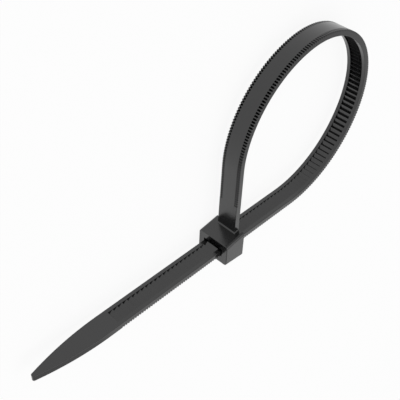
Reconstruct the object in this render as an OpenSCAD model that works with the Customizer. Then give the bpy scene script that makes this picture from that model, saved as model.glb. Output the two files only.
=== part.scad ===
// Self-locking cable tie, closed into a loop and lying on its side.
// The loop lies in a plane parallel to XY, and the strap's width runs along Z.
// The strap's run through the head lies along X, and its root leaves the head along Y.
// X = 0 and Y = 0 are where the centre lines of those two runs cross.

/* [Strap] */
// Width of the strap
strap_w = 4.8; // [3.6:0.1:6]
// Thickness of the strap
strap_t = 1.3; // [1.1:0.05:1.6]

/* [Loop] */
// Radius of the bend that follows the lower run, at mid thickness
lower_bend_r = 22.2; // [20:0.1:30]
// Angle of the bend that follows the lower run
lower_bend_deg = 71; // [60:0.5:80]
// Radius of the far end of the loop, at mid thickness
end_bend_r = 19.4; // [16:0.1:20]
// Angle of the far end of the loop
end_bend_deg = 120.5; // [110:0.5:125]
// Radius of the bend that leads down to the root, at mid thickness
upper_bend_r = 21.6; // [19:0.1:24]

/* [Tail] */
// Length of the tail, from the root's centre line to the tip
tail_len = 51.1; // [45:0.1:70]
// Length of the curved taper to the tip
tip_len = 16.5; // [12:0.1:18]
// Width left at the tip
tip_w = 1; // [0.8:0.1:1.6]

/* [Ladder] */
// Distance from one tooth to the next
tooth_pitch = 1.2; // [1:0.05:1.4]
// Depth of the teeth below the rails
tooth_depth = 0.45; // [0.3:0.05:0.55]
// Depth of the teeth's crests below the rails
crest_depth = 0.05; // [0.03:0.01:0.08]
// Length of each tooth's steep face along the strap
steep_len = 0.1; // [0.05:0.01:0.2]
// Width of the ladder between the rails
ladder_w = 3.1; // [2.4:0.1:3.2]
// Plain length of strap above the head
plain_root_len = 7; // [4:0.1:12]
// Length of tail that the teeth reach, from the root's centre line
ladder_tail_len = 32.1; // [28:0.1:34]

/* [Edge notches] */
// Distance from one notch to the next
notch_pitch = 0.6; // [0.5:0.05:0.8]
// Depth of the notches from the outer face
notch_depth = 0.3; // [0.2:0.05:0.35]
// Reach of the notches across the strap, from each edge
notch_w = 0.58; // [0.4:0.01:0.7]

/* [Head] */
// Width of the head, across the strap
head_w = 8; // [7.8:0.1:10]
// Length of the head along the passage
head_len = 5.2; // [5:0.1:7]
// Height of the head above the passage's centre line, at the entry side
top_entry_h = 3.7; // [3.5:0.1:4.5]
// Height of the head above the passage's centre line, at the exit side
top_exit_h = 2.6; // [2.5:0.1:3.4]
// Depth of the head below the passage's centre line, at the entry side
base_entry_h = 3.2; // [2.4:0.1:4]
// Depth of the head below the passage's centre line, at the exit side
base_exit_h = 2.75; // [2:0.05:4]
// Rounding of the head's long edges
long_edge_r = 0.65; // [0.2:0.05:0.8]
// Rounding of the head's corners, seen along the root
corner_r = 0.35; // [0.1:0.05:0.4]

/* [Passage] */
// Gap between the strap and the walls of the passage
strap_gap = 0.15; // [0.1:0.01:0.2]
// Width of the mouth where the tail comes out
mouth_w = 6.7; // [6.4:0.1:6.8]
// Depth of the mouth
mouth_len = 1.3; // [0.6:0.1:1.6]
// Thickness of the roof over the mouth and the pawl
roof_t = 0.3; // [0.25:0.05:0.5]
// Thickness of the entry wall above the strap
entry_wall_t = 1; // [0.6:0.1:1.2]

/* [Pawl] */
// Width of the pawl
pawl_w = 2.7; // [1.8:0.1:2.8]
// Gap on each side of the pawl
pawl_side_gap = 0.4; // [0.2:0.05:0.5]
// Thickness of the pawl above its teeth
pawl_t = 0.7; // [0.5:0.05:0.8]
// Gap between the pawl's teeth and the ladder
pawl_gap = 0.15; // [0.1:0.01:0.2]
// Number of teeth on the pawl
pawl_teeth = 2; // [1:1:2]

/* [Hidden] */
$fn = 180;
eps = 0.02;
// Cuts run this far past the faces that they open
cut_over = 0.6;
// Notches widen outwards to this height above the outer face
notch_over = 0.15;
// Length of strap between two points on the free side of a cut
free_step = 3;
// Neighbouring runs of the strap run into each other by this much, so that they are one solid
lap = 0.00001;
// Neighbouring bends run into each other by this angle
lap_deg = 0.001;

// The strap is a chain of five runs: lower run, three bends, root
mid_z = head_w / 2;
half_t = strap_t / 2;
bend_r = [lower_bend_r, end_bend_r, upper_bend_r];
root_heading = 270;
heading = [0, lower_bend_deg, lower_bend_deg + end_bend_deg, root_heading];

// Travel over one bend, from its first heading to its last
function bend_move(i) = bend_r[i] * [
    sin(heading[i + 1]) - sin(heading[i]),
    cos(heading[i]) - cos(heading[i + 1])
];
bend_sum = bend_move(0) + bend_move(1) + bend_move(2);

// The lower run is as long as it takes to bring the root back over X = 0
lower_len = -bend_sum.x;
bend_start = [
    [lower_len, 0],
    [lower_len, 0] + bend_move(0),
    [lower_len, 0] + bend_move(0) + bend_move(1)
];
bend_centre = [for (i = [0:2]) bend_start[i] + bend_r[i] * [-sin(heading[i]), cos(heading[i])]];
bend_len = [for (i = [0:2]) bend_r[i] * (heading[i + 1] - heading[i]) * PI / 180];

// Distance along the strap at the start of each bend and at the start of the root
bend_s = [
    lower_len,
    lower_len + bend_len[0],
    lower_len + bend_len[0] + bend_len[1],
    lower_len + bend_len[0] + bend_len[1] + bend_len[2]
];
root_top_y = bend_sum.y;

// Head and passage
entry_x = half_t;
exit_x = entry_x - head_len;
roof_slope = (top_entry_h - top_exit_h) / head_len;
function roof_y(x) = top_exit_h + roof_slope * (x - exit_x);
head_top_y = roof_y(-half_t);
root_s = bend_s[3] + root_top_y - head_top_y;
passage_h = strap_t + 2 * strap_gap;
passage_w = strap_w + 2 * strap_gap;

// Ladder and notches, by distance along the strap
ladder_s0 = -ladder_tail_len;
ladder_s1 = root_s - plain_root_len;
tooth_count = floor((ladder_s1 - ladder_s0) / tooth_pitch);
notch_count = floor((ladder_s1 - ladder_s0) / notch_pitch);

// Point of the strap's plane at distance s along the centre line and off towards the loop's inside
function on_bend(i, s, off) =
    let (h = heading[i] + (s - bend_s[i]) / bend_r[i] * 180 / PI)
    bend_centre[i] + (bend_r[i] - off) * [sin(h), -cos(h)];
function strap_point(s, off) =
    s < bend_s[0] ? [s, off] :
    s < bend_s[1] ? on_bend(0, s, off) :
    s < bend_s[2] ? on_bend(1, s, off) :
    s < bend_s[3] ? on_bend(2, s, off) :
    [off, root_top_y - (s - bend_s[3])];

// Points on the free side of a cut, from its far end back to its start
function free_side(s0, s1, off) =
    let (n = ceil((s1 - s0) / free_step))
    [for (i = [0:n]) strap_point(s1 - i * (s1 - s0) / n, off)];

// Each tooth rises along a ramp and falls at its steep face
valley_off = half_t - tooth_depth;
crest_off = half_t - crest_depth;
function ladder_outline() = concat(
    [for (i = [0:tooth_count - 1]) each [
        strap_point(ladder_s0 + i * tooth_pitch, valley_off),
        strap_point(ladder_s0 + (i + 1) * tooth_pitch - steep_len, crest_off)
    ]],
    free_side(ladder_s0, ladder_s0 + tooth_count * tooth_pitch, half_t + cut_over)
);

// Notches are a row of V cuts in the outer face
function notch_outline() = concat(
    [for (i = [0:notch_count - 1]) each [
        strap_point(ladder_s0 + i * notch_pitch, -half_t - notch_over),
        strap_point(ladder_s0 + (i + 0.5) * notch_pitch, -half_t + notch_depth)
    ]],
    [strap_point(ladder_s0 + notch_count * notch_pitch, -half_t - notch_over)],
    free_side(ladder_s0, ladder_s0 + notch_count * notch_pitch, -half_t - cut_over)
);

module bend(i, lap_before = 0, lap_after = 0) {
    turn = heading[i + 1] - heading[i];
    translate([bend_centre[i].x, bend_centre[i].y, mid_z - strap_w / 2])
        rotate_extrude(start = heading[i] - 90 - lap_before, angle = turn + lap_before + lap_after)
            translate([bend_r[i] - half_t, 0])
                square([strap_t, strap_w]);
}

// The tip narrows between two large circles and ends in a small round
module tip_outline() {
    narrow = (strap_w - tip_w) / 2;
    round_x = tip_w / 2;
    taper = tip_len - round_x;
    taper_r = (taper * taper + narrow * narrow) / (2 * narrow);
    intersection() {
        translate([round_x, -strap_w])
            square([tip_len, 2 * strap_w]);
        translate([tip_len, taper_r - strap_w / 2])
            circle(r = taper_r, $fn = 720);
        translate([tip_len, strap_w / 2 - taper_r])
            circle(r = taper_r, $fn = 720);
    }
    translate([round_x, 0])
        circle(d = tip_w);
}

module tip() {
    translate([-tail_len, half_t, mid_z])
        rotate([90, 0, 0])
            linear_extrude(height = strap_t)
                tip_outline();
}

module lower_run() {
    translate([lower_len + lap, -half_t, mid_z - strap_w / 2])
        mirror([1, 0, 0])
            cube([tail_len - tip_len + lower_len + 2 * lap, strap_t, strap_w]);
}

// The root stands on the head, and is moulded to it under the roof's depth
module root() {
    translate([-half_t, root_top_y + lap, mid_z - strap_w / 2])
        mirror([0, 1, 0])
            cube([strap_t, root_top_y - head_top_y + roof_t + lap, strap_w]);
}

module plain_strap() {
    tip();
    lower_run();
    bend(0, lap_after = lap_deg);
    bend(1);
    bend(2, lap_before = lap_deg);
    root();
}

module ladder_cut() {
    translate([0, 0, mid_z - ladder_w / 2])
        linear_extrude(height = ladder_w)
            polygon(ladder_outline());
}

module notch_cut(low_z) {
    translate([0, 0, low_z])
        linear_extrude(height = notch_w + eps)
            polygon(notch_outline());
}

module strap() {
    difference() {
        plain_strap();
        ladder_cut();
        notch_cut(mid_z - strap_w / 2 - eps);
        notch_cut(mid_z + strap_w / 2 - notch_w);
    }
}

// Cutter that rounds one long edge of the head, running from a to b at the side z = 0
module long_edge_cut(a, b) {
    run = norm(b - a);
    translate([a.x, a.y, 0])
        rotate([0, 0, atan2(b.y - a.y, b.x - a.x)])
            difference() {
                translate([-cut_over, -long_edge_r, -cut_over])
                    cube([run + 2 * cut_over, long_edge_r + cut_over, long_edge_r + cut_over]);
                translate([-2 * cut_over, -long_edge_r, long_edge_r])
                    rotate([0, 90, 0])
                        cylinder(r = long_edge_r, h = run + 4 * cut_over, $fn = 48);
            }
}

module side_edge_cuts() {
    long_edge_cut([exit_x, top_exit_h], [entry_x, top_entry_h]);
    long_edge_cut([entry_x, -base_entry_h], [exit_x, -base_exit_h]);
}

// Outline of the head seen along the root, with rounded corners
module head_plan() {
    translate([exit_x + corner_r, 0])
        square([head_len - 2 * corner_r, head_w]);
    translate([exit_x, corner_r])
        square([head_len, head_w - 2 * corner_r]);
    for (x = [exit_x + corner_r, entry_x - corner_r], y = [corner_r, head_w - corner_r])
        translate([x, y])
            circle(r = corner_r, $fn = 48);
}

module head_block() {
    plan_h = top_entry_h + base_entry_h + base_exit_h + 2 * cut_over;
    difference() {
        intersection() {
            linear_extrude(height = head_w)
                polygon([
                    [entry_x, -base_entry_h],
                    [entry_x, top_entry_h],
                    [exit_x, top_exit_h],
                    [exit_x, -base_exit_h]
                ]);
            translate([0, plan_h / 2, 0])
                rotate([90, 0, 0])
                    linear_extrude(height = plan_h)
                        head_plan();
        }
        side_edge_cuts();
        translate([0, 0, head_w])
            mirror([0, 0, 1])
                side_edge_cuts();
    }
}

// Space above the strap, under a roof that follows the top of the head
module roofed_space(x0, x1, width) {
    translate([0, 0, mid_z - width / 2])
        linear_extrude(height = width)
            polygon([
                [x0, -passage_h / 2],
                [x1, -passage_h / 2],
                [x1, roof_y(x1) - roof_t],
                [x0, roof_y(x0) - roof_t]
            ]);
}

module passage_cut() {
    translate([exit_x - cut_over, -passage_h / 2, mid_z - passage_w / 2])
        cube([head_len + 2 * cut_over, passage_h, passage_w]);
    roofed_space(exit_x - cut_over, exit_x + mouth_len, mouth_w);
    roofed_space(exit_x, entry_x - entry_wall_t, pawl_w + 2 * pawl_side_gap);
}

// The pawl hangs from the entry wall and its teeth follow the ladder's teeth
pawl_end_x = ladder_s0 + tooth_pitch * ceil((exit_x + mouth_len - ladder_s0) / tooth_pitch);
pawl_root_x = entry_x - entry_wall_t;
module pawl() {
    heel_x = pawl_end_x + pawl_teeth * tooth_pitch;
    translate([0, 0, mid_z - pawl_w / 2])
        linear_extrude(height = pawl_w)
            polygon(concat(
                [for (i = [0:pawl_teeth - 1]) each [
                    [pawl_end_x + i * tooth_pitch + pawl_gap, valley_off + pawl_gap],
                    [pawl_end_x + (i + 1) * tooth_pitch - steep_len + pawl_gap, crest_off + pawl_gap]
                ]],
                [
                    [max(heel_x, pawl_root_x) + eps, passage_h / 2 + eps],
                    [pawl_root_x + entry_wall_t / 2, passage_h / 2 + eps],
                    [pawl_root_x + entry_wall_t / 2, passage_h / 2 + 2 * pawl_t],
                    [pawl_root_x, passage_h / 2 + 2 * pawl_t],
                    [pawl_end_x + pawl_gap, crest_off + pawl_gap + pawl_t]
                ]
            ));
}

// Moulded in one piece: head, pawl and strap
module cable_tie() {
    color([0.06, 0.06, 0.065]) {
        difference() {
            head_block();
            passage_cut();
        }
        pawl();
        strap();
    }
}

cable_tie();
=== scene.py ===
"""Studio picture of a self-locking cable tie, closed into a loop and lying on its side.

Sizes in the classes are millimetres, in the frame of the CAD model, and become metres when a
mesh is finished. The origin lies on the table, below the point where the centre line of the
passage through the head crosses that of the root. X runs along the passage towards the loop,
Y along the root towards the loop's far side, and Z across the strap's width, up from the table.
"""
import logging
import math
from dataclasses import dataclass
from enum import Enum

import bmesh
import bpy
from mathutils import Matrix, Vector


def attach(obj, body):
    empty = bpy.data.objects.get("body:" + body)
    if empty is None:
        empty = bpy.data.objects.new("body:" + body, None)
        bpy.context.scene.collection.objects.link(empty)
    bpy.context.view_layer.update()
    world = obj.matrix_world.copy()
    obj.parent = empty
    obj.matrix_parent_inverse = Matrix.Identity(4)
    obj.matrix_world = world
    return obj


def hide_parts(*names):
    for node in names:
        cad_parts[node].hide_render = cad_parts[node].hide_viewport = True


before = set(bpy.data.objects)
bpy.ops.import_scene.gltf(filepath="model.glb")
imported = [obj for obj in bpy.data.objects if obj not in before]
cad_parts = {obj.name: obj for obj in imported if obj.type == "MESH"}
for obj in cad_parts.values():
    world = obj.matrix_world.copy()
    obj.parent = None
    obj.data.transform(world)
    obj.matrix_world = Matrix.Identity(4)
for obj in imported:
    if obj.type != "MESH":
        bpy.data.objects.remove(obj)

LOG = logging.getLogger("cable_tie")
MM = 0.001
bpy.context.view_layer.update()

# Millimetres within which a cutting plane takes a point that is already there
PLANE_TOL = 1e-5
# Millimetres within which a point counts as inside a box, and the joined tie's doubles merge
POINT_TOL = 1e-4
# Millimetres within which two places on an axis count as one
PLACE_TOL = 1e-3
# Least part of a normal or an edge that lies along an axis when it counts as pointing that way
ALONG = 0.9


class Axis(Enum):
    """The axes along which a mesh is cut or measured."""

    X = 0
    Y = 1
    Z = 2

    def unit(self) -> Vector:
        """Unit vector along the axis."""
        return Vector([1.0 if i == self.value else 0.0 for i in range(3)])


def near(a: float, b: float) -> bool:
    """Whether two places on an axis count as one."""
    return abs(a - b) < PLACE_TOL


def lies_at(edge: bmesh.types.BMEdge, axis: Axis, place: float) -> bool:
    """Whether both ends of an edge lie at one place on an axis."""
    return all(near(v.co[axis.value], place) for v in edge.verts)


def cut(bm: bmesh.types.BMesh, faces: list, axis: Axis, place: float) -> None:
    """Cuts faces by a plane square to an axis.

    Args:
        bm: mesh that holds the faces.
        faces: the faces to cut; their neighbours only gain points on shared edges.
        axis: axis that the plane is square to.
        place: where the plane crosses the axis.
    """
    edges = {e for f in faces for e in f.edges}
    verts = {v for f in faces for v in f.verts}
    bmesh.ops.bisect_plane(
        bm,
        geom=list(faces) + list(edges) + list(verts),
        dist=PLANE_TOL,
        plane_co=axis.unit() * place,
        plane_no=axis.unit(),
    )


def facing(bm: bmesh.types.BMesh, axis: Axis, sign: int) -> list:
    """Faces whose normals point one way.

    Args:
        bm: mesh to search.
        axis: axis that the normals are compared with.
        sign: 1 for the axis' own direction, -1 for the opposite one.

    Returns:
        The faces found.
    """
    bm.normal_update()
    return [f for f in bm.faces if f.normal[axis.value] * sign > ALONG]


def within(items: list, low: tuple, high: tuple) -> list:
    """Those verts, or those edges or faces by their centres, that lie inside a box.

    Args:
        items: verts, edges or faces.
        low: lowest corner of the box.
        high: highest corner of the box.

    Returns:
        The items found.
    """
    found = []
    for item in items:
        if isinstance(item, bmesh.types.BMVert):
            centre = item.co
        else:
            centre = sum((v.co for v in item.verts), Vector()) / len(item.verts)
        if all(a - POINT_TOL <= c <= b + POINT_TOL for a, c, b in zip(low, centre, high)):
            found.append(item)
    return found


def round_edges(bm: bmesh.types.BMesh, edges: list, radius: float, steps: int) -> None:
    """Rounds edges.

    Args:
        bm: mesh that holds the edges.
        edges: the edges to round.
        radius: width that the rounding takes from each face.
        steps: number of faces across the rounding.
    """
    bmesh.ops.bevel(
        bm,
        geom=list(edges),
        offset=radius,
        offset_type="OFFSET",
        segments=steps,
        profile=0.5,
        affect="EDGES",
        material=-1,
        clamp_overlap=True,
    )


def push(bm: bmesh.types.BMesh, faces: list, move: Vector) -> list:
    """Extrudes faces as one region and moves the new faces.

    Args:
        bm: mesh that holds the faces.
        faces: the faces to extrude.
        move: how far and which way the new faces go.

    Returns:
        The new faces.
    """
    made = bmesh.ops.extrude_face_region(bm, geom=list(faces))["geom"]
    bmesh.ops.delete(bm, geom=[f for f in faces if f.is_valid], context="FACES_ONLY")
    new = [g for g in made if isinstance(g, bmesh.types.BMFace)]
    bmesh.ops.translate(bm, verts=list({v for f in new for v in f.verts}), vec=move)
    return new


@dataclass
class LoopPath:
    """Centre line of the closed loop: lower run, three bends and the root.

    The lower run's length and the root's top follow from the bends, so that the loop closes.

    Attributes:
        mid_z: height of the strap's mid width above the table.
        radii: radii of the bends, in order from the lower run to the root.
        turns: degrees that each bend turns by, in the same order.
    """

    mid_z: float
    radii: tuple = (22.2, 19.4, 21.6)
    turns: tuple = (71.0, 120.5, 78.5)

    def __post_init__(self) -> None:
        """Works out where each bend starts and has its centre."""
        self.headings = [0.0]
        for turn in self.turns:
            self.headings.append(self.headings[-1] + math.radians(turn))
        moves = [
            radius * Vector((math.sin(b) - math.sin(a), math.cos(a) - math.cos(b)))
            for radius, a, b in zip(self.radii, self.headings, self.headings[1:])
        ]
        total = sum(moves, Vector((0.0, 0.0)))
        self.lower_len = -total.x
        self.root_top_y = total.y
        self.starts = [self.lower_len]
        self.centres = []
        corner = Vector((self.lower_len, 0.0))
        for radius, turn, heading, move in zip(self.radii, self.turns, self.headings, moves):
            self.centres.append(corner + radius * Vector((-math.sin(heading), math.cos(heading))))
            corner = corner + move
            self.starts.append(self.starts[-1] + radius * math.radians(turn))

    def place(self, along: float, off: float, across: float) -> Vector:
        """Point of the strap.

        Args:
            along: distance along the centre line from the point above the origin.
            off: distance from the centre line towards the loop's inside.
            across: distance from mid width.

        Returns:
            The point in the frame of the model.
        """
        z = self.mid_z + across
        if along < self.starts[0]:
            return Vector((along, off, z))
        if along >= self.starts[-1]:
            return Vector((off, self.root_top_y - (along - self.starts[-1]), z))
        i = max(k for k in range(len(self.radii)) if along >= self.starts[k])
        heading = self.headings[i] + (along - self.starts[i]) / self.radii[i]
        reach = self.radii[i] - off
        x = self.centres[i].x + reach * math.sin(heading)
        y = self.centres[i].y - reach * math.cos(heading)
        return Vector((x, y, z))


@dataclass(frozen=True)
class StrapFit:
    """Sizes of the strap that the head is made to fit.

    Attributes:
        width: width of the strap.
        thick: thickness of the strap at the rails beside its ladder.
        pitch: distance from one tooth of the ladder to the next.
        ladder_tail_len: how far the ladder goes on past the origin, along the tail.
    """

    width: float = 4.8
    thick: float = 1.3
    pitch: float = 1.2
    ladder_tail_len: float = 32.1


@dataclass
class Strap:
    """Strap with its ladder of teeth, its notched edges and its tapered tip.

    It is modelled straight and then bent: X is the distance along it, Y the distance from its
    centre line towards the loop's inside, and Z the distance from its mid width.

    Attributes:
        path: centre line that the strap follows.
        fit: the sizes that it shares with the head.
        root_s: distance along the path at which the strap ends in the root.
        tail_len: distance from the origin to the end of the tip.
        tip_len: length of the tip, from the start of its taper.
        tip_w: width of the rounded end of the tip.
        taper_sections: number of sections along the taper.
        tip_turns: degrees around the rounded end at which it has a section.
        tooth_depth: depth of the valley between two teeth, below the rails.
        crest_depth: depth of a tooth's crest below the rails.
        steep_len: length that a tooth's steep side takes along the strap.
        ladder_w: width of the ladder between the rails.
        plain_root_len: least length of strap without a ladder beside the head.
        notch_depth: depth of the notches in the outer face.
        notch_w: how far a notch reaches in from the strap's edge.
        notch_land: length of the flat between two notches.
        wall_draft: slant of the walls that end the notches and the valleys.
        edge_r: rounding of the strap's long edges.
        edge_steps: number of faces across that rounding.
        crest_r: rounding of the teeth's crests, one face wide.
        plain_step: longest section of the plain strap between the ladder and the head.
    """

    path: LoopPath
    fit: StrapFit
    root_s: float
    tail_len: float = 51.1
    tip_len: float = 16.5
    tip_w: float = 1.0
    taper_sections: int = 24
    tip_turns: tuple = (15, 30, 45, 58, 70, 80)
    tooth_depth: float = 0.52
    crest_depth: float = 0.004
    steep_len: float = 0.03
    ladder_w: float = 3.1
    plain_root_len: float = 7.0
    notch_depth: float = 0.4
    notch_w: float = 0.74
    notch_land: float = 0.22
    wall_draft: float = 0.015
    edge_r: float = 0.07
    edge_steps: int = 2
    crest_r: float = 0.015
    plain_step: float = 1.2

    def __post_init__(self) -> None:
        """Works out the places that the methods share."""
        self.half_w = self.fit.width / 2
        self.half_t = self.fit.thick / 2
        self.taper_x = self.tip_len - self.tail_len

    def cell(self, bm: bmesh.types.BMesh) -> None:
        """Models one pitch of the strap, from one tooth's crest to the next, open at both ends."""
        pitch = self.fit.pitch
        bmesh.ops.create_cube(bm, size=1.0)
        bmesh.ops.scale(bm, vec=(pitch, self.fit.thick, self.fit.width), verts=bm.verts)
        bmesh.ops.translate(bm, vec=(pitch / 2, 0, 0), verts=bm.verts)
        ends = facing(bm, Axis.X, 1) + facing(bm, Axis.X, -1)
        bmesh.ops.delete(bm, geom=ends, context="FACES_ONLY")
        self.notch_outside(bm)
        self.tooth_inside(bm)

    def split_across(self, bm: bmesh.types.BMesh, sign: int, wall_z: float) -> None:
        """Cuts a face of the strap at both sides of mid width, where the slanted walls stand.

        Args:
            bm: mesh of one pitch of the strap.
            sign: 1 for the inner face, -1 for the outer one.
            wall_z: distance of the walls' outer edges from mid width.
        """
        for z in (wall_z, wall_z - self.wall_draft):
            for side in (-1, 1):
                cut(bm, facing(bm, Axis.Y, sign), Axis.Z, side * z)

    def notch_outside(self, bm: bmesh.types.BMesh) -> None:
        """Sinks two V notches to a tooth into the outer face, at both edges."""
        notch_z = self.half_w - self.notch_w
        self.split_across(bm, -1, notch_z)
        half_pitch = self.fit.pitch / 2
        for start in (0.0, half_pitch):
            bottom = start + self.notch_land + (half_pitch - self.notch_land) / 2
            for x in (start + self.notch_land, bottom, start + half_pitch):
                cut(bm, facing(bm, Axis.Y, -1), Axis.X, x)
            for v in bm.verts:
                at_edge = v.co.y < 0 and abs(v.co.z) > notch_z - PLACE_TOL
                if at_edge and near(v.co.x, bottom):
                    v.co.y = -self.half_t + self.notch_depth

    def tooth_inside(self, bm: bmesh.types.BMesh) -> None:
        """Shapes a tooth into the inner face, between its two rails."""
        rail_z = self.ladder_w / 2
        self.split_across(bm, 1, rail_z)
        cut(bm, facing(bm, Axis.Y, 1), Axis.X, self.steep_len)
        for v in bm.verts:
            if v.co.y > self.half_t - PLACE_TOL and abs(v.co.z) < rail_z - PLACE_TOL:
                in_valley = near(v.co.x, self.steep_len)
                v.co.y = self.half_t - (self.tooth_depth if in_valley else self.crest_depth)

    def ladder(self, bm: bmesh.types.BMesh, count: int) -> None:
        """Repeats the strap's cell into a stretch with a number of teeth."""
        self.cell(bm)
        bmesh.ops.spin(
            bm,
            geom=list(bm.verts) + list(bm.edges) + list(bm.faces),
            cent=(0, 0, 0),
            axis=(0, 0, 1),
            dvec=(self.fit.pitch, 0, 0),
            angle=0.0,
            steps=count - 1,
            use_duplicate=True,
        )
        bmesh.ops.remove_doubles(bm, verts=bm.verts, dist=PLACE_TOL)

    def end_loop(self, bm: bmesh.types.BMesh, place: float) -> list:
        """Open edges of the strap at one distance along it."""
        return [e for e in bm.edges if e.is_boundary and lies_at(e, Axis.X, place)]

    def run_on(self, bm: bmesh.types.BMesh, place: float, stops: list) -> None:
        """Extrudes an open end through a row of plain sections.

        Args:
            bm: mesh of the straight strap.
            place: distance along the strap of the open end.
            stops: pairs of distance along the strap and width there.
        """
        width = self.fit.width
        for stop, new_width in stops:
            made = bmesh.ops.extrude_edge_only(bm, edges=self.end_loop(bm, place))["geom"]
            verts = [g for g in made if isinstance(g, bmesh.types.BMVert)]
            bmesh.ops.translate(bm, vec=(stop - place, 0, 0), verts=verts)
            bmesh.ops.scale(bm, vec=(1, 1, new_width / width), verts=verts)
            for v in verts:
                v.co.y = math.copysign(self.half_t, v.co.y)
            place, width = stop, new_width

    def tail_stops(self, start: float) -> list:
        """Sections of the plain tail and of the tip.

        The tip narrows between two large circles, one to a side, and ends in a small round.

        Args:
            start: distance along the strap at which the ladder ends.

        Returns:
            Pairs of distance along the strap and width there.
        """
        round_r = self.tip_w / 2
        narrow = self.half_w - round_r
        taper = self.tip_len - round_r
        taper_r = (taper**2 + narrow**2) / (2 * narrow)
        stops = [(start - self.wall_draft, self.fit.width), (self.taper_x, self.fit.width)]
        for k in range(1, self.taper_sections + 1):
            run = taper * k / self.taper_sections
            half = self.half_w - (taper_r - math.sqrt(taper_r**2 - run**2))
            stops.append((self.taper_x - run, 2 * half))
        for degrees in self.tip_turns:
            angle = math.radians(degrees)
            reach = taper + round_r * math.sin(angle)
            stops.append((self.taper_x - reach, 2 * round_r * math.cos(angle)))
        return stops

    def root_stops(self, start: float) -> list:
        """Even sections of the plain strap between the ladder and the head.

        Args:
            start: distance along the strap at which the ladder ends.

        Returns:
            Pairs of distance along the strap and width there.
        """
        plain = self.root_s - start
        pieces = math.ceil(plain / self.plain_step)
        stops = [(start + self.wall_draft, self.fit.width)]
        stops += [(start + plain * k / pieces, self.fit.width) for k in range(1, pieces + 1)]
        return stops

    def build(self, bm: bmesh.types.BMesh) -> None:
        """Models the strap straight and lays it along the loop, with its root end left open."""
        room = self.root_s - self.plain_root_len + self.fit.ladder_tail_len
        count = math.floor(room / self.fit.pitch)
        self.ladder(bm, count)
        first = -self.fit.ladder_tail_len - self.steep_len
        bmesh.ops.translate(bm, vec=(first, 0, 0), verts=bm.verts)
        last = first + count * self.fit.pitch

        self.run_on(bm, first, self.tail_stops(first))
        tip_end = min(v.co.x for v in bm.verts)
        bmesh.ops.holes_fill(bm, edges=self.end_loop(bm, tip_end), sides=0)
        self.run_on(bm, last, self.root_stops(last))
        bmesh.ops.recalc_face_normals(bm, faces=bm.faces)
        self.soften(bm)
        for v in bm.verts:
            v.co = self.path.place(v.co.x, v.co.y, v.co.z)

    def soften(self, bm: bmesh.types.BMesh) -> None:
        """Rounds the crests of the strap's teeth and its long edges."""
        bm.normal_update()
        crest_y = self.half_t - self.crest_depth
        crests = [
            e
            for e in bm.edges
            if lies_at(e, Axis.Y, crest_y)
            and near(e.verts[0].co.x, e.verts[1].co.x)
            and len(e.link_faces) == 2
        ]
        round_edges(bm, crests, self.crest_r, steps=1)
        bm.normal_update()
        long_edges = [e for e in bm.edges if self.is_long_edge(e)]
        round_edges(bm, long_edges, self.edge_r, self.edge_steps)

    def is_long_edge(self, edge: bmesh.types.BMEdge) -> bool:
        """Whether one of the strap's narrow sides meets a broad face, or a notch, at an edge."""
        # Least part along Y and most along Z of a broad face's normal, since it leans in a notch
        least_y, most_z = 0.5, 0.3
        if len(edge.link_faces) != 2:
            return False
        a, b = (f.normal for f in edge.link_faces)
        narrow_side = max(abs(a.z), abs(b.z)) > ALONG
        broad_face = max(abs(a.y), abs(b.y)) > least_y and min(abs(a.z), abs(b.z)) < most_z
        outermost = min(abs(v.co.z) for v in edge.verts) > self.edge_z(edge) - PLACE_TOL
        return narrow_side and broad_face and outermost

    def edge_z(self, edge: bmesh.types.BMEdge) -> float:
        """Distance of the strap's side from mid width at an edge, or 0 on the tapered tip."""
        tapered = min(v.co.x for v in edge.verts) < self.taper_x - PLACE_TOL
        return 0.0 if tapered else self.half_w


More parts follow.
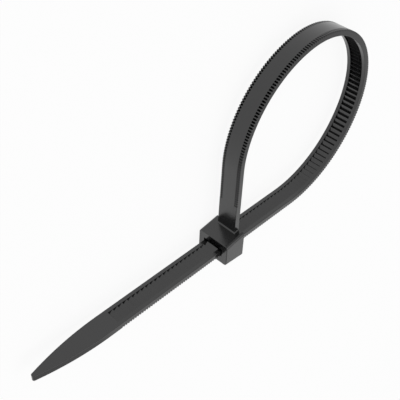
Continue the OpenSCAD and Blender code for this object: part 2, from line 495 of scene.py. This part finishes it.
@dataclass
class Head:
    """Head with the passage for the strap, the pawl and the stub of the root.

    Heights are measured from the centre line of the passage. The pawl's own values are those of
    the CAD model's ladder, so that it stands as it does there.

    Attributes:
        fit: the sizes of the strap that goes through.
        width: width of the head, and its height as it lies.
        length: length from the entry side to the exit side.
        top_entry_h: height of the head's top at the entry side.
        top_exit_h: height of the head's top at the exit side.
        base_entry_h: depth of the head's base at the entry side.
        base_exit_h: depth of the head's base at the exit side.
        long_edge_r: rounding of the four edges that run along the passage.
        long_edge_steps: number of faces across that rounding.
        ridge_r: rounding of the edge round the exit side.
        ridge_steps: number of faces across that rounding.
        strap_gap: clearance round the strap in the passage.
        slot_top: height of the exit slot's upper edge.
        entry_wall_t: thickness of the entry wall, where the passage is lowest.
        rim_r: rounding of the rims of the exit slot and the entry.
        rim_steps: number of faces across that rounding.
        corner_turn: least angle in radians between the faces at such a rim.
        least_area: area in square millimetres below which a face isn't cut for the passage.
        stub_len: height of the root's stub above the head's top, on the side away from the loop.
        root_fillet: fillet where the root leaves the head's top.
        fillet_steps: number of faces across the fillet.
        pawl_w: width of the pawl.
        pawl_t: thickness of the pawl.
        pawl_gap: clearance between the pawl and the ladder.
        pawl_inset: how deep the pawl's seat is sunk into the entry wall.
        pawl_end_len: least distance from the exit side to the pawl's free end.
        tooth_depth: depth of the valleys that the pawl's teeth fit.
        crest_depth: depth of the crests that the pawl's teeth fit.
        steep_len: length of a tooth's steep side.
    """

    fit: StrapFit
    width: float = 8.0
    length: float = 5.2
    top_entry_h: float = 3.5
    top_exit_h: float = 2.68
    base_entry_h: float = 3.2
    base_exit_h: float = 2.75
    long_edge_r: float = 0.65
    long_edge_steps: int = 8
    ridge_r: float = 0.14
    ridge_steps: int = 5
    strap_gap: float = 0.15
    slot_top: float = 1.1
    entry_wall_t: float = 1.0
    rim_r: float = 0.06
    rim_steps: int = 2
    corner_turn: float = 1.0
    least_area: float = 0.4
    stub_len: float = 0.55
    root_fillet: float = 0.3
    fillet_steps: int = 6
    pawl_w: float = 2.7
    pawl_t: float = 0.7
    pawl_gap: float = 0.15
    pawl_inset: float = 0.02
    pawl_end_len: float = 1.3
    tooth_depth: float = 0.45
    crest_depth: float = 0.05
    steep_len: float = 0.1

    def __post_init__(self) -> None:
        """Works out the places that the methods share."""
        self.entry_x = self.fit.thick / 2
        self.exit_x = self.entry_x - self.length
        self.wall_x = self.entry_x - self.entry_wall_t
        self.mid_z = self.width / 2
        self.root_low_z = self.mid_z - self.fit.width / 2
        self.root_high_z = self.mid_z + self.fit.width / 2
        self.passage_half_h = self.fit.thick / 2 + self.strap_gap
        self.passage_half_w = self.fit.width / 2 + self.strap_gap
        self.top_slope = (self.top_entry_h - self.top_exit_h) / self.length
        self.base_slope = (self.base_entry_h - self.base_exit_h) / self.length
        self.stub_y = self.roof_y(-self.entry_x) + self.stub_len

    def roof_y(self, x: float) -> float:
        """Place of the head's top."""
        return self.top_exit_h + self.top_slope * (x - self.exit_x)

    def base_y(self, x: float) -> float:
        """Place of the head's base, on the other side of the passage."""
        return -self.base_exit_h - self.base_slope * (x - self.exit_x)

    def block(self, bm: bmesh.types.BMesh) -> None:
        """Models the solid head with its outer edges rounded."""
        bmesh.ops.create_cube(bm, size=1.0)
        bmesh.ops.scale(bm, vec=(self.length, 1, self.width), verts=bm.verts)
        middle = ((self.entry_x + self.exit_x) / 2, 0, self.mid_z)
        bmesh.ops.translate(bm, vec=middle, verts=bm.verts)
        for v in bm.verts:
            v.co.y = self.roof_y(v.co.x) if v.co.y > 0 else self.base_y(v.co.x)
        lengthwise = [e for e in bm.edges if self.runs_lengthwise(e)]
        round_edges(bm, lengthwise, self.long_edge_r, self.long_edge_steps)
        ridge = [e for e in bm.edges if lies_at(e, Axis.X, self.exit_x)]
        round_edges(bm, ridge, self.ridge_r, self.ridge_steps)

    def runs_lengthwise(self, edge: bmesh.types.BMEdge) -> bool:
        """Whether an edge runs mainly along the passage."""
        run = edge.verts[1].co - edge.verts[0].co
        return abs(run.x) > ALONG * run.length

    def root_faces(self, bm: bmesh.types.BMesh, low_z: float, high_z: float) -> list:
        """Faces of the head's top that lie below the root, between two places across it."""
        low = (-self.entry_x, 0, low_z)
        high = (self.entry_x, math.inf, high_z)
        return within(facing(bm, Axis.Y, 1), low, high)

    def stub(self, bm: bmesh.types.BMesh) -> None:
        """Raises the stub of the root from the head's top and opens it for the strap."""
        top = max(facing(bm, Axis.Y, 1), key=lambda face: face.calc_area())
        cut(bm, [top], Axis.X, -self.entry_x)
        for z in (self.root_low_z, self.root_high_z):
            cut(bm, self.root_faces(bm, 0, self.width), Axis.Z, z)
        foot = self.root_faces(bm, self.root_low_z, self.root_high_z)
        raised = push(bm, foot, Vector((0, self.stub_len, 0)))
        for v in {v for f in raised for v in f.verts}:
            v.co.y = self.stub_y
        bmesh.ops.delete(bm, geom=raised, context="FACES_ONLY")
        foot_edges = [e for e in bm.edges if self.is_foot_edge(e)]
        round_edges(bm, foot_edges, self.root_fillet, self.fillet_steps)

    def is_foot_edge(self, edge: bmesh.types.BMEdge) -> bool:
        """Whether one of the stub's sides meets the head's top at an edge."""
        low_z, high_z = self.root_low_z, self.root_high_z
        on_side = (
            lies_at(edge, Axis.X, -self.entry_x)
            or lies_at(edge, Axis.Z, low_z)
            or lies_at(edge, Axis.Z, high_z)
        )
        if not on_side or len(edge.link_faces) != 2:
            return False
        return all(
            near(v.co.y, self.roof_y(v.co.x))
            and low_z - PLACE_TOL <= v.co.z <= high_z + PLACE_TOL
            and v.co.x > -self.entry_x - PLACE_TOL
            for v in edge.verts
        )

    def passage(self, bm: bmesh.types.BMesh) -> None:
        """Opens the exit slot, the room for the pawl behind it and the way through."""
        half_h = self.passage_half_h
        slot = self.window(bm, -1, self.exit_x, self.slot_top)
        deep = push(bm, slot, Vector((self.wall_x - self.exit_x, 0, 0)))
        cut(bm, deep, Axis.Y, half_h)
        low = []
        for face in facing(bm, Axis.X, -1):
            centre = face.calc_center_median()
            if near(centre.x, self.wall_x) and centre.y < half_h:
                low.append(face)
        through = push(bm, low, Vector((self.entry_wall_t / 2, 0, 0)))
        entry = self.window(bm, 1, self.entry_x, half_h)
        rims = [{e for f in faces for e in f.edges} for faces in (through, entry)]
        bmesh.ops.delete(bm, geom=through + entry, context="FACES_ONLY")
        loops = [e for rim in rims for e in rim if e.is_valid and e.is_boundary]
        bmesh.ops.bridge_loops(bm, edges=loops)

    def window(self, bm: bmesh.types.BMesh, sign: int, place: float, high: float) -> list:
        """Cuts the outline of the passage into an end face of the head.

        Args:
            bm: mesh of the head.
            sign: 1 for the entry side, -1 for the exit side.
            place: where the face crosses X.
            high: upper edge of the outline.

        Returns:
            The face inside the outline.
        """
        half_w, low = self.passage_half_w, -self.passage_half_h
        low_z, high_z = self.mid_z - half_w, self.mid_z + half_w

        def end_faces() -> list:
            """Larger faces in the plane of the head's end."""
            low_corner, high_corner = (place, -math.inf, 0), (place, math.inf, self.width)
            flat = within(facing(bm, Axis.X, sign), low_corner, high_corner)
            return [f for f in flat if f.calc_area() > self.least_area]

        for z in (low_z, high_z):
            cut(bm, end_faces(), Axis.Z, z)
        for y in (low, high):
            column = [f for f in end_faces() if low_z < f.calc_center_median().z < high_z]
            cut(bm, column, Axis.Y, y)
        return within(end_faces(), (place, low, low_z), (place, high, high_z))

    def soften(self, bm: bmesh.types.BMesh) -> None:
        """Rounds the rims of the exit slot and of the entry."""
        half_w, low = self.passage_half_w, -self.passage_half_h
        bm.normal_update()
        rims = []
        for place, high in ((self.exit_x, self.slot_top), (self.entry_x, self.passage_half_h)):
            low_corner = (place, low, self.mid_z - half_w)
            high_corner = (place, high, self.mid_z + half_w)
            inside = set(within(bm.verts, low_corner, high_corner))
            rims += [
                e
                for e in bm.edges
                if all(v in inside for v in e.verts) and e.calc_face_angle(0) > self.corner_turn
            ]
        round_edges(bm, rims, self.rim_r, self.rim_steps)

    def pawl(self, bm: bmesh.types.BMesh) -> None:
        """Adds the pawl, which hangs from the entry wall and reaches into the ladder."""
        pitch, gap = self.fit.pitch, self.pawl_gap
        valley = self.fit.thick / 2 - self.tooth_depth + gap
        crest = self.fit.thick / 2 - self.crest_depth + gap
        seat_y = self.passage_half_h + self.pawl_inset
        top_y = self.passage_half_h + 2 * self.pawl_t
        least_x = self.exit_x + self.pawl_end_len
        tooth = math.ceil((least_x + self.fit.ladder_tail_len) / pitch)
        end_x = pitch * tooth - self.fit.ladder_tail_len
        inside_x = self.wall_x + self.entry_wall_t / 2
        # From the free end over the two teeth into the wall, and back along the top
        profile = [
            (end_x + gap, valley),
            (end_x + pitch - self.steep_len + gap, crest),
            (end_x + pitch + gap, valley),
            (end_x + 2 * pitch - self.steep_len + gap, crest),
            (max(end_x + 2 * pitch, self.wall_x) + self.pawl_inset, seat_y),
            (inside_x, seat_y),
            (inside_x, top_y),
            (self.wall_x, top_y),
            (end_x + gap, crest + self.pawl_t),
        ]
        verts = [bm.verts.new((x, y, self.mid_z - self.pawl_w / 2)) for x, y in profile]
        side = bm.faces.new(verts)
        made = bmesh.ops.extrude_face_region(bm, geom=[side])["geom"]
        new = [g for g in made if isinstance(g, bmesh.types.BMVert)]
        bmesh.ops.translate(bm, vec=(0, 0, self.pawl_w), verts=new)

    def build(self, bm: bmesh.types.BMesh) -> None:
        """Models the head without its pawl, open at the top of its root stub."""
        self.block(bm)
        self.stub(bm)
        self.passage(bm)
        self.soften(bm)


def srgb(code: str) -> tuple:
    """Linear colour of an sRGB hex value.

    Args:
        code: six hex digits after a hash.

    Returns:
        Red, green, blue and alpha for a shader's socket.
    """
    parts = [int(code[i : i + 2], 16) / 255 for i in (1, 3, 5)]
    linear = [c / 12.92 if c <= 0.04045 else ((c + 0.055) / 1.055) ** 2.4 for c in parts]
    return (*linear, 1.0)


def empty_material(name: str) -> bpy.types.Material:
    """Makes a material whose node tree is empty."""
    mat = bpy.data.materials.new(name)
    mat.use_nodes = True
    mat.node_tree.nodes.clear()
    return mat


def add_node(
    tree: bpy.types.NodeTree, kind: str, settings: dict | None = None, links: dict | None = None
) -> bpy.types.Node:
    """Adds one node with its settings and links.

    Args:
        tree: node tree that gets the node.
        kind: the node's type name.
        settings: values for its properties, or for its inputs where a name or index is an input's.
        links: sockets that feed its inputs, by the inputs' names or indices.

    Returns:
        The new node.
    """
    node = tree.nodes.new(kind)
    for name, value in (settings or {}).items():
        if isinstance(name, str) and hasattr(node, name):
            setattr(node, name, value)
        else:
            node.inputs[name].default_value = value
    for name, socket in (links or {}).items():
        tree.links.new(socket, node.inputs[name])
    return node


@dataclass(frozen=True)
class Mottle:
    """Irregular pattern that varies a finish.

    Attributes:
        size_mm: size of its patches.
        detail: number of finer patterns on top of the first.
        share: strength of each finer pattern, as a share of the one before.
    """

    size_mm: float
    detail: float
    share: float


@dataclass(frozen=True)
class MouldedNylon:
    """Black nylon 6/6, injection moulded in a lightly eroded mould.

    It looks dark and satin, with soft reflections. Its tone drifts a little where the melt has
    flowed, its gloss is uneven in small clouds, and the mould's grain breaks up its highlights.

    Attributes:
        name: name of the material.
        dark: its darkest tone.
        light: its lightest tone.
        ior: index of refraction, matched to the strength of its reflections.
        rough_low: roughness of the glossiest clouds.
        rough_high: roughness of the dullest clouds.
        cloud_low: value of the clouds' pattern that counts as glossiest.
        cloud_high: value of the clouds' pattern that counts as dullest.
        flow: drift of the tone.
        cloud: unevenness of the gloss.
        grain: grain of the eroded mould, drawn coarser than it is so that it shows.
        grain_height_mm: height of the grain.
        grain_strength: share of that height that tilts the surface.
    """

    name: str = "moulded_black_nylon"
    dark: str = "#0b0b0c"
    light: str = "#121213"
    ior: float = 1.66
    rough_low: float = 0.18
    rough_high: float = 0.24
    cloud_low: float = 0.3
    cloud_high: float = 0.7
    flow: Mottle = Mottle(size_mm=9.0, detail=3.0, share=0.55)
    cloud: Mottle = Mottle(size_mm=2.2, detail=4.0, share=0.6)
    grain: Mottle = Mottle(size_mm=0.28, detail=2.0, share=0.5)
    grain_height_mm: float = 0.004
    grain_strength: float = 0.5

    def material(self) -> bpy.types.Material:
        """Makes the material."""
        mat = empty_material(self.name)
        tree = mat.node_tree
        point = add_node(tree, "ShaderNodeTexCoord").outputs["Object"]
        flow, cloud, grain = (
            add_node(
                tree,
                "ShaderNodeTexNoise",
                {"Scale": 1 / (each.size_mm * MM), "Detail": each.detail, "Roughness": each.share},
                {"Vector": point},
            )
            for each in (self.flow, self.cloud, self.grain)
        )
        tint = add_node(
            tree,
            "ShaderNodeMix",
            {"data_type": "RGBA", 6: srgb(self.dark), 7: srgb(self.light)},
            {0: flow.outputs[0]},
        )
        rough = add_node(
            tree,
            "ShaderNodeMapRange",
            {
                "From Min": self.cloud_low,
                "From Max": self.cloud_high,
                "To Min": self.rough_low,
                "To Max": self.rough_high,
            },
            {"Value": cloud.outputs[0]},
        )
        bump = add_node(
            tree,
            "ShaderNodeBump",
            {"Strength": self.grain_strength, "Distance": self.grain_height_mm * MM},
            {"Height": grain.outputs[0]},
        )
        shader = add_node(
            tree,
            "ShaderNodeBsdfPrincipled",
            {"IOR": self.ior},
            {
                "Base Color": tint.outputs[2],
                "Roughness": rough.outputs[0],
                "Normal": bump.outputs[0],
            },
        )
        add_node(tree, "ShaderNodeOutputMaterial", links={"Surface": shader.outputs[0]})
        return mat


@dataclass
class CableTie:
    """The tie, moulded in one piece: strap, head and pawl.

    Attributes:
        fit: the sizes that the strap and the head share.
        finish: what the tie is made of.
        join_gap: distance from the stub to the strap's end, which the join bridges.
        smooth_deg: least angle in degrees between two faces that keeps their edge sharp.
    """

    fit: StrapFit = StrapFit()
    finish: MouldedNylon = MouldedNylon()
    join_gap: float = 0.1
    smooth_deg: float = 20.0

    def build(self) -> bpy.types.Object:
        """Models and dresses the tie.

        Returns:
            The piece that stands for the CAD node.
        """
        head = Head(self.fit)
        path = LoopPath(head.mid_z)
        root_s = path.starts[-1] + path.root_top_y - head.roof_y(-head.entry_x)
        bm = bmesh.new()
        Strap(path, self.fit, root_s).build(bm)
        self.join_head(bm, head)
        head.pawl(bm)
        bmesh.ops.remove_doubles(bm, verts=bm.verts, dist=POINT_TOL)
        bmesh.ops.recalc_face_normals(bm, faces=bm.faces)
        return self.finish_mesh(bm)

    def join_head(self, bm: bmesh.types.BMesh, head: Head) -> None:
        """Adds the head and joins the strap's open end to the stub of the root.

        Args:
            bm: mesh of the strap.
            head: the head, which has yet to be built.
        """
        head_bm = bmesh.new()
        head.build(head_bm)
        head_mesh = bpy.data.meshes.new("head_part")
        head_bm.to_mesh(head_mesh)
        head_bm.free()
        bm.from_mesh(head_mesh)
        bpy.data.meshes.remove(head_mesh)
        loose = [e for e in bm.edges if e.is_boundary]
        for v in {v for e in loose for v in e.verts}:
            if v.co.y < head.stub_y - PLACE_TOL:
                v.co.y = head.stub_y + self.join_gap
        bmesh.ops.bridge_loops(bm, edges=loose)

    def finish_mesh(self, bm: bmesh.types.BMesh) -> bpy.types.Object:
        """Makes the object in metres, smooth between its sharp edges, and gives it its finish."""
        bmesh.ops.scale(bm, vec=(MM, MM, MM), verts=bm.verts)
        mesh = bpy.data.meshes.new("nylon_tie")
        bm.to_mesh(mesh)
        open_edges = sum(1 for e in bm.edges if len(e.link_faces) != 2)
        LOG.info("nylon_tie: %d faces, %d open edges", len(bm.faces), open_edges)
        bm.free()
        mesh.shade_smooth()
        mesh.set_sharp_from_angle(angle=math.radians(self.smooth_deg))
        mesh.materials.append(self.finish.material())
        piece = bpy.data.objects.new("nylon_tie", mesh)
        bpy.context.scene.collection.objects.link(piece)
        flats = piece.modifiers.new("flat_faces", "WEIGHTED_NORMAL")
        flats.keep_sharp = True
        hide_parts("cable_tie")
        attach(piece, "root")
        return piece


@dataclass(frozen=True)
class WhiteTable:
    """Matt white laminate, which keeps the tie's shadow and shows as nearly white.

    For camera and glossy rays most of it is plain white light, so that the ground and its
    reflection in the nylon are white without more light on the tie.

    Attributes:
        name: name of the material.
        color: its own colour.
        roughness: its roughness, with no gloss at all.
        glow: share of white light that those rays see.
    """

    name: str = "white_table"
    color: str = "#fafafa"
    roughness: float = 0.9
    glow: float = 0.88

    def material(self) -> bpy.types.Material:
        """Makes the material."""
        mat = empty_material(self.name)
        tree = mat.node_tree
        shader = add_node(
            tree,
            "ShaderNodeBsdfPrincipled",
            {
                "Base Color": srgb(self.color),
                "Roughness": self.roughness,
                "Specular IOR Level": 0.0,
            },
        )
        rays = add_node(tree, "ShaderNodeLightPath")
        seen = add_node(
            tree,
            "ShaderNodeMath",
            {"operation": "MAXIMUM"},
            {0: rays.outputs["Is Camera Ray"], 1: rays.outputs["Is Glossy Ray"]},
        )
        share = add_node(
            tree, "ShaderNodeMath", {"operation": "MULTIPLY", 1: self.glow}, {0: seen.outputs[0]}
        )
        white = add_node(tree, "ShaderNodeEmission", {"Strength": 1.0})
        mix = add_node(
            tree,
            "ShaderNodeMixShader",
            links={0: share.outputs[0], 1: shader.outputs[0], 2: white.outputs[0]},
        )
        add_node(tree, "ShaderNodeOutputMaterial", links={"Surface": mix.outputs[0]})
        return mat


@dataclass(frozen=True)
class SoftBox:
    """Square soft lamp that points at the origin, below the head.

    Attributes:
        name: name of the lamp.
        watts: its power.
        size_m: length of its sides in metres.
        place_m: its place in metres.
    """

    name: str
    watts: float
    size_m: float
    place_m: tuple

    def build(self) -> None:
        """Sets up the lamp."""
        lamp = bpy.data.lights.new(self.name, "AREA")
        lamp.energy = self.watts
        lamp.size = self.size_m
        holder = bpy.data.objects.new(self.name, lamp)
        holder.location = Vector(self.place_m)
        holder.rotation_mode = "QUATERNION"
        holder.rotation_quaternion = (-holder.location).to_track_quat("-Z", "Y")
        bpy.context.scene.collection.objects.link(holder)


@dataclass
class Studio:
    """White table and surroundings, soft light and the camera.

    The camera's place, its three directions and its lens come from a fit to the outlines of the
    strap, the head and the loop in the photograph.

    Attributes:
        table_m: length of the table's sides in metres.
        finish: finish of the table.
        sky: strength of the white surroundings as a light.
        lamps: the soft lamps.
        eye_mm: place of the camera.
        right: direction that is to the right in the picture.
        down: direction that is downwards in the picture.
        forward: direction that the camera looks in.
        lens: focal length in millimetres.
        sensor: width of the sensor in millimetres.
        clip_m: nearest and farthest distance that the camera sees, in metres.
    """

    table_m: float = 8.0
    finish: WhiteTable = WhiteTable()
    sky: float = 0.58
    lamps: tuple = (
        SoftBox("soft_box_above", watts=1.4, size_m=0.6, place_m=(0.0, 0.0, 0.6)),
        SoftBox("soft_box_side", watts=0.05, size_m=0.2, place_m=(0.25, -0.385, 0.21)),
    )
    eye_mm: tuple = (-88.976, 115.508, 77.165)
    right: tuple = (0.698448, 0.034687, 0.714820)
    down: tuple = (-0.465196, -0.737016, 0.490306)
    forward: tuple = (0.543841, -0.674985, -0.498631)
    lens: float = 68.435
    sensor: float = 36.0
    clip_m: tuple = (0.005, 50.0)

    def camera(self) -> None:
        """Places the camera where the photograph was taken from."""
        data = bpy.data.cameras.new("camera")
        data.lens = self.lens
        data.sensor_width = self.sensor
        data.clip_start, data.clip_end = self.clip_m
        eye = bpy.data.objects.new("camera", data)
        right, up, back = Vector(self.right), -Vector(self.down), -Vector(self.forward)
        turn = Matrix((right, up, back)).transposed().to_4x4()
        eye.matrix_world = Matrix.Translation(Vector(self.eye_mm) * MM) @ turn
        bpy.context.scene.collection.objects.link(eye)
        bpy.context.scene.camera = eye

    def table(self) -> None:
        """Makes the table top that the tie lies on."""
        bm = bmesh.new()
        bmesh.ops.create_grid(bm, x_segments=1, y_segments=1, size=self.table_m / 2)
        mesh = bpy.data.meshes.new("table_top")
        bm.to_mesh(mesh)
        bm.free()
        mesh.materials.append(self.finish.material())
        table = bpy.data.objects.new("table_top", mesh)
        bpy.context.scene.collection.objects.link(table)

    def surroundings(self) -> None:
        """Makes the world plain white to the camera and dimmer as a light."""
        world = bpy.data.worlds.new("white_room")
        bpy.context.scene.world = world
        world.use_nodes = True
        tree = world.node_tree
        background = tree.nodes["Background"]
        background.inputs["Color"].default_value = (1.0, 1.0, 1.0, 1.0)
        rays = add_node(tree, "ShaderNodeLightPath")
        strength = add_node(
            tree,
            "ShaderNodeMath",
            {"operation": "MAXIMUM", 1: self.sky},
            {0: rays.outputs["Is Camera Ray"]},
        )
        tree.links.new(strength.outputs[0], background.inputs["Strength"])

    def build(self) -> None:
        """Sets up the whole studio."""
        self.camera()
        self.table()
        self.surroundings()
        for lamp in self.lamps:
            lamp.build()
        bpy.context.scene.view_settings.view_transform = "Standard"


def main() -> None:
    """Builds the studio and the tie."""
    logging.basicConfig(level=logging.INFO, format="%(message)s")
    Studio().build()
    piece = CableTie().build()
    LOG.info("built %s, riding on root", piece.name)


if __name__ == "__main__":
    main()
